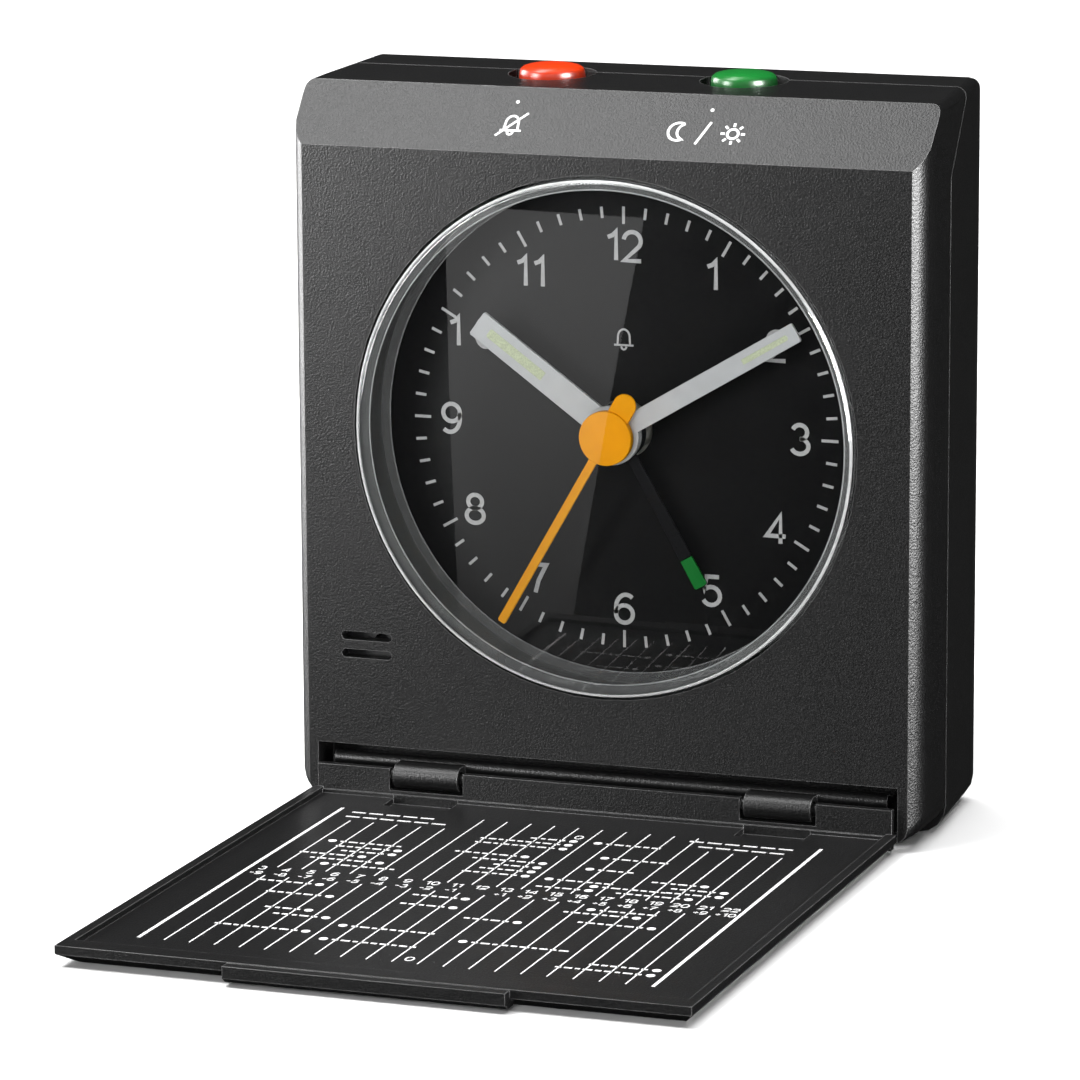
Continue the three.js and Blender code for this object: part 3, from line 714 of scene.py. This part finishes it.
hand("second_pointer", "second_hand", [
    (bar(0.95, 0, 23.3), 1.2, 1.5),
    ([(-1.25, 0), (1.25, 0), (1.25, -4), (-1.25, -4)], 1.19, 1.49),
    (disc(1.25, -4), 1.2, 1.5),
    (disc(2.85), 0.85, 1.7),
], "hand_yellow", "second", second_angle, 0.1)

# ---------- push buttons ----------


def button_cap(name, node, x, slot, body):
    """A domed cap on a flange, turned from (radius, height) points."""
    low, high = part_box(node)
    foot, top = low.z / MM, high.z / MM
    stem = [
        (0, foot), (1.5, foot), (1.5, foot + 0.8), (5.2, foot + 0.8), (5.2, foot + 1.7), (3.45, foot + 1.7),
    ]
    dome = [
        (3.45, top - 1.1), (3.34, top - 0.66), (2.95, top - 0.36), (2.2, top - 0.16), (1.1, top - 0.03),
        (0, top),
    ]
    profile = filleted(stem + dome, 0.25)
    mesh = turned(name, profile, lambda a, b, h: point(x + a, button_y + b, h), 72)
    piece(name, mesh, body, slot, [node])


button_cap("off_cap", "off_button", -button_x, "button_red", "off_button")
button_cap("snooze_cap", "snooze_button", button_x, "button_green", "snooze_button")

# ---------- printing ----------


def arc(cx, cy, rx, ry, start_at, end_at, steps=14):
    angles = [math.radians(start_at + (end_at - start_at) * i / steps) for i in range(steps + 1)]
    return [(cx + rx * math.cos(a), cy + ry * math.sin(a)) for a in angles]


def lamp_rays():
    angles = [math.radians(45 * i) for i in range(8)]
    return [[(0.55 + r * math.cos(a), 0.5 + r * math.sin(a)) for r in (0.36, 0.54)] for a in angles]


# Single-line digits and signs in a box one unit high; the number is each one's width.
glyphs = {
    "0": (0.66, [arc(0.33, 0.5, 0.33, 0.5, 90, 450, 28)]),
    "1": (0.42, [[(0.06, 0.79), (0.24, 0.86), (0.36, 1.0), (0.36, 0.0)]]),
    "2": (0.64, [arc(0.32, 0.69, 0.31, 0.31, 172, -38) + [(0.02, 0.0), (0.64, 0.0)]]),
    "3": (0.62, [arc(0.3, 0.75, 0.26, 0.25, 160, -90), arc(0.3, 0.26, 0.31, 0.265, 90, -158)]),
    "4": (0.68, [[(0.5, 0.0), (0.5, 1.0), (0.0, 0.26), (0.68, 0.26)]]),
    "5": (0.62, [[(0.58, 1.0), (0.13, 1.0), (0.06, 0.5)] + arc(0.3, 0.32, 0.32, 0.32, 138, -152)]),
    "6": (0.64, [arc(0.32, 0.31, 0.31, 0.31, 90, 450, 24), arc(0.38, 0.52, 0.37, 0.48, 52, 205, 16)]),
    "7": (0.6, [[(0.0, 1.0), (0.6, 1.0), (0.32, 0.45), (0.2, 0.0)]]),
    "8": (0.64, [arc(0.32, 0.76, 0.26, 0.24, 90, 450, 20), arc(0.32, 0.265, 0.32, 0.265, 90, 450, 24)]),
    "9": (0.64, [arc(0.32, 0.69, 0.31, 0.31, 90, 450, 24), arc(0.26, 0.48, 0.37, 0.48, 232, 385, 16)]),
    "-": (0.4, [[(0.0, 0.45), (0.4, 0.45)]]),
    "+": (0.5, [[(0.0, 0.45), (0.5, 0.45)], [(0.25, 0.2), (0.25, 0.7)]]),
    "bell": (1.0, [
        [(0.04, 0.2), (0.96, 0.2)],
        [(0.2, 0.2), (0.22, 0.52)] + arc(0.5, 0.56, 0.28, 0.36, 180, 0) + [(0.78, 0.52), (0.8, 0.2)],
        arc(0.5, 0.14, 0.12, 0.14, 180, 360, 8),
    ]),
    "stroke": (0.6, [[(0.05, -0.1), (0.55, 1.05)]]),
    "moon": (0.8, [arc(0.45, 0.5, 0.45, 0.45, 60, 300, 18) + arc(0.82, 0.5, 0.42, 0.42, 252, 108, 12)]),
    "lamp": (1.1, [arc(0.55, 0.5, 0.24, 0.24, 90, 450, 20)] + lamp_rays()),
}


def line(shape, points, width, place):
    """A flat line of one width along points, with mitred corners."""
    corners = [Vector(p) for p in points]
    sides = []
    for i, corner in enumerate(corners):
        into = (corner - corners[i - 1]).normalized() if i else None
        out = (corners[i + 1] - corner).normalized() if i + 1 < len(corners) else None
        into, out = into or out, out or into
        along = (into + out).normalized()
        across = Vector((-along.y, along.x))
        reach = width / 2 / max(0.5, across.dot(Vector((-into.y, into.x))))
        sides.append([shape.verts.new(place(*(corner + across * side * reach))) for side in (1, -1)])
    for (a, b), (d, c) in zip(sides, sides[1:]):
        shape.faces.new([a, b, c, d])


def dot(shape, x, y, radius, place):
    shape.faces.new([shape.verts.new(place(a + x, b)) for a, b in disc(radius, y, 20)])


def text_width(marks, height, space):
    return sum(glyphs[mark][0] for mark in marks) * height + space * (len(marks) - 1)


def write(shape, marks, x, y, height, stroke, place, space):
    """Marks in a row, centred on x, with their feet on y."""
    pen = x - text_width(marks, height, space) / 2
    for mark in marks:
        width, strokes = glyphs[mark]
        for points in strokes:
            line(shape, [(pen + a * height, y + b * height) for a, b in points], stroke, place)
        pen += width * height + space


def printed(name, shape, body, material, normal):
    """Ink as a closed film a few hundredths of a millimetre thick, facing along normal."""
    for face in shape.faces:
        face.normal_update()
        if face.normal.dot(normal) < 0:
            face.normal_flip()
    mesh = bpy.data.meshes.new(name)
    shape.to_mesh(mesh)
    shape.free()
    made = piece(name, mesh, body, "hand_silver", material=material)
    film = made.modifiers.new("ink film", "SOLIDIFY")
    film.thickness = 0.03 * MM
    film.offset = 0.0


# ---------- dial printing ----------

mark_ring = 23.2
hour_mark, minute_mark = 1.8, 1.17
numeral_radius = 19.1
numeral_height = 3.0
numeral_stroke = 0.45
numeral_space = 0.62
# Numerals that stand off their place on the ring: how far right, how far up, and their spacing.
numeral_shifts = {11: (-0.7, -0.6, numeral_space), 10: (-0.25, -0.3, 1.8)}


def on_dial(a, b):
    return point(a, dial_front - 0.01, dial_z + b)


def dial_printing():
    shape = bmesh.new()
    for minute in range(60):
        angle = math.radians(6 * minute)
        length = minute_mark if minute % 5 else hour_mark
        ends = [(r * math.sin(angle), r * math.cos(angle)) for r in (mark_ring - length, mark_ring)]
        line(shape, ends, 0.3, on_dial)
    for hour in range(1, 13):
        angle = math.radians(30 * hour)
        right, up, space = numeral_shifts.get(hour, (0, 0, numeral_space))
        x = numeral_radius * math.sin(angle) + right
        foot = numeral_radius * math.cos(angle) + up - numeral_height / 2
        write(shape, list(str(hour)), x, foot, numeral_height, numeral_stroke, on_dial, space)
    write(shape, ["bell"], 0, 8.3, 2.3, 0.2, on_dial, 0)
    printed("dial_printing", shape, "case", dial_ink, Vector((0, -1, 0)))


# ---------- printing on the sloping strip ----------

strip_foot, strip_head, strip_depth = 70.2, 76.3, 5.5
strip_rise = Vector((0, strip_depth, strip_head - strip_foot)).normalized()
strip_outward = Vector((0, -strip_rise.z, strip_rise.y))


def on_strip(a, b):
    origin = Vector((0, 0, strip_foot)) + strip_outward * 0.01
    return point(*(origin + Vector((a, 0, 0)) + strip_rise * b))


def bevel_printing():
    """One bell struck out, then a moon and a lamp, each sign under its button, and a dot over each."""
    shape = bmesh.new()
    write(shape, ["bell"], -button_x, 2.3, 2.5, 0.25, on_strip, 0)
    line(shape, [(-button_x - 1.5, 2.1), (-button_x + 1.5, 5.0)], 0.25, on_strip)
    write(shape, ["moon", "stroke", "lamp"], button_x, 2.35, 2.4, 0.27, on_strip, 1.1)
    for side in (-1, 1):
        dot(shape, side * button_x, 6.35, 0.2, on_strip)
    printed("bevel_printing", shape, "case", white_ink, strip_outward)


# ---------- time-zone chart on the cover ----------

zone_pitch = 2.6
chart_near, chart_far = -59.3, -6.7
short_far = -11.4                     # where the outer lines stop, under the headings
row_near, row_far = -34.3, -30.9      # the gap in the lines that holds the numbers
dash_stroke = 0.34
name_dash_lengths = (0.62, 0.95, 0.5, 0.8)
heading_dash = 1.5
# Marked places: zone column from the middle, distance from the front face, and name length,
# to the left where it is negative.
places = [
    (-9, 19.5, 7), (-6, 21.2, -6), (-6, 22.8, -5), (-7, 24.5, -6), (-6, 26.2, -7), (-8, 28.1, 7),
    (-7, 35.8, -6), (-6, 39.6, -6), (-6, 45.0, -4), (-5, 47.0, -5), (-4, 49.0, 9), (-5, 52.1, -9),
    (-4, 54.0, 9), (0, 11.9, -4), (0, 13.5, -9), (0, 15.1, -9), (-1, 19.2, -7), (0, 21.1, -7),
    (0, 22.8, -4), (0, 24.5, -5), (0, 26.2, -6), (1, 11.8, 6), (2, 17.1, 6), (2, 21.6, 3.5),
    (1, 26.4, 6), (3, 27.7, 7), (3, 29.3, -5), (7, 24.3, -5), (8, 26.0, -5), (8, 27.6, -5),
    (7, 29.3, -7), (-1, 36.2, -5), (-1, 39.6, -5), (4, 35.9, 6), (6, 37.4, -7), (7, 40.5, -7),
    (2, 42.6, -5), (1, 50.6, 10), (9, 54.1, -6), (9, 55.9, -9),
]
# Heading lines: left end, right end and distance from the front face.
headings = [(-24.5, -14.5, 8.0), (-24.5, -12.5, 9.8), (12.5, 24.6, 8.0), (14.0, 23.5, 9.8)]


def on_cover(a, b):
    return point(a - 0.3, b, 1.61)


def zone_lines(shape):
    for side in (-1, 1):
        line(shape, [(side * 26.1, chart_near), (side * 26.1, chart_far)], 0.36, on_cover)
    for k in range(-9, 10):
        far = short_far if k < -4 or k > 5 else chart_far
        line(shape, [(k * zone_pitch, chart_near), (k * zone_pitch, row_near)], 0.14, on_cover)
        line(shape, [(k * zone_pitch, row_far), (k * zone_pitch, far)], 0.14, on_cover)


def zone_numbers(shape):
    """Hours over the offset of each zone. The zone without an offset has only its hour."""
    for k in range(-10, 10):
        x = (k + 0.5) * zone_pitch
        write(shape, list(str(k + 13)), x, -32.2, 1.1, 0.15, on_cover, 0.22)
        if k != -1:
            write(shape, list(f"{k + 1:+d}"), x, -34.0, 1.0, 0.14, on_cover, 0.2)


def name_dashes(shape, x, distance, length):
    """Uneven dashes in place of a name, beside its dot."""
    way = 1 if length > 0 else -1
    pen = 0.9
    step = 0
    while pen < abs(length) + 0.6:
        dash = name_dash_lengths[step % len(name_dash_lengths)]
        ends = [(x + way * pen, -distance), (x + way * (pen + dash), -distance)]
        line(shape, ends, dash_stroke, on_cover)
        pen += dash + 0.28
        step += 1


def heading_dashes(shape, left, right, distance):
    step = heading_dash + 0.4
    for i in range(int((right - left) / step)):
        x = left + i * step
        line(shape, [(x, -distance), (x + heading_dash, -distance)], dash_stroke, on_cover)


def cover_printing():
    """A plain chart of time zones: hour lines, numbers, and marked places with dashes for names."""
    shape = bmesh.new()
    zone_lines(shape)
    zone_numbers(shape)
    for column, distance, length in places:
        x = (column + 0.5) * zone_pitch
        dot(shape, x, -distance, 0.45, on_cover)
        name_dashes(shape, x, distance, length)
    for heading in headings:
        heading_dashes(shape, *heading)
    for distance in (10.3, 58.0):
        write(shape, ["0"], zone_pitch / 2, -distance - 0.5, 1.2, 0.16, on_cover, 0)
    printed("cover_printing", shape, "cover", white_ink, Vector((0, 0, 1)))


dial_printing()
bevel_printing()
cover_printing()

# ---------- floor, light and camera ----------


def sheet_of(name, corners, material):
    mesh = bpy.data.meshes.new(name)
    mesh.from_pydata(corners, [], [(0, 1, 2, 3)])
    mesh.materials.append(material)
    made = bpy.data.objects.new(name, mesh)
    bpy.context.scene.collection.objects.link(made)
    return made


def softbox(name, place, target, size, watts, rays="all"):
    """A rectangular light that the camera doesn't see. rays may be all, diffuse or glossy."""
    data = bpy.data.lights.new(name, "AREA")
    data.shape = "RECTANGLE"
    data.size, data.size_y = size
    data.energy = watts
    made = bpy.data.objects.new(name, data)
    bpy.context.scene.collection.objects.link(made)
    made.location = place
    made.rotation_euler = (Vector(target) - Vector(place)).to_track_quat("-Z", "Y").to_euler()
    made.visible_camera = False
    made.visible_diffuse = rays != "glossy"
    made.visible_glossy = rays != "diffuse"


def mirror_card(name, corners, low_z, low_strength, high_z, high_strength):
    """A glowing card that only reflections see, brightening evenly from low_z to high_z."""
    material, shader = start(name, (0, 0, 0), 1.0)
    glow = ranged(material, position(material, "Z"), low_z, high_z, low_strength, high_strength)
    shader.inputs["Emission Color"].default_value = (1, 1, 1, 1)
    join(material, glow, shader.inputs["Emission Strength"])
    made = sheet_of(name, corners, material)
    made.visible_camera = False
    made.visible_diffuse = False
    made.visible_transmission = False
    made.visible_shadow = False


def studio_world(seen, cast):
    """A pale backdrop of strength seen, which lights the clock only with strength cast."""
    world = bpy.data.worlds.new("studio")
    world.use_nodes = True
    nodes = world.node_tree.nodes
    backdrop = nodes["Background"]
    backdrop.inputs["Color"].default_value = (1, 1, 1, 1)
    rays = nodes.new("ShaderNodeLightPath")
    choice = nodes.new("ShaderNodeMapRange")
    choice.inputs["To Min"].default_value = cast
    choice.inputs["To Max"].default_value = seen
    world.node_tree.links.new(rays.outputs["Is Camera Ray"], choice.inputs["Value"])
    world.node_tree.links.new(choice.outputs["Result"], backdrop.inputs["Strength"])
    bpy.context.scene.world = world


half_floor = 6.0
floor_corners = [(x * half_floor, y * half_floor, 0) for x, y in ((-1, -1), (1, -1), (1, 1), (-1, 1))]
floor = sheet_of("floor", floor_corners, pale_floor("floor_pale"))
floor.visible_glossy = False
studio_world(1.0, 0.01)
bpy.context.scene.view_settings.view_transform = "Standard"

clock_middle = (0, 0, 0.04)
# Name, place, the point it faces, width and height, watts, and the rays that see it.
softboxes = [
    ("sky", (0, 0.3, 2.5), (0, 0.3, 0), (3.2, 3.2), 135, "diffuse"),
    ("overhead", (-0.37, -0.26, 0.83), clock_middle, (0.42, 0.42), 6.8, "all"),
    ("zenith", (-0.25, 0.12, 0.85), clock_middle, (0.4, 0.2), 2, "all"),
    ("front_fill", (0.15, -0.9, 0.35), clock_middle, (0.5, 0.4), 5.2, "diffuse"),
    ("left_key", (-0.222, -0.18, 0.1), (0, 0, 0.05), (0.11, 0.2), 1.9, "glossy"),
    ("upper_key", (-0.125, -0.18, 0.13), (0, 0, 0.08), (0.06, 0.13), 0.12, "glossy"),
    ("left_rim", (-0.45, 0.12, 0.12), clock_middle, (0.25, 0.35), 4, "glossy"),
    ("right_key", (0.4, -0.12, 0.14), (0.03, 0, 0.05), (0.2, 0.3), 11, "glossy"),
]
for settings in softboxes:
    softbox(*settings)

# The lens mirrors this card, whose right edge gives the slanting line seen across the dial.
card_y = face_y - 0.2
card_corners = [
    (-0.107, card_y, -0.12), (-0.0957, card_y, -0.12), (-0.0592, card_y, 0.05), (-0.107, card_y, 0.05),
]
mirror_card("lens_card", card_corners, -0.04, 0.3, 0.035, 1.0)

# The photo's camera, from a fit to the dial, the housing's edges and the lines on the cover.
camera_place = point(195.08, -552.38, 152.9)
camera_yaw, camera_pitch, camera_roll = (math.radians(a) for a in (20.077, -11.792, -0.315))
camera_data = bpy.data.cameras.new("camera")
camera_data.lens = 194.02
camera_data.sensor_width = 36
camera_data.clip_start = 0.01
camera = bpy.data.objects.new("camera", camera_data)
bpy.context.scene.collection.objects.link(camera)
turn = Matrix.Rotation(camera_yaw, 4, "Z") @ Matrix.Rotation(math.pi / 2 + camera_pitch, 4, "X")
camera.matrix_world = Matrix.Translation(camera_place) @ turn @ Matrix.Rotation(camera_roll, 4, "Z")
bpy.context.scene.camera = camera
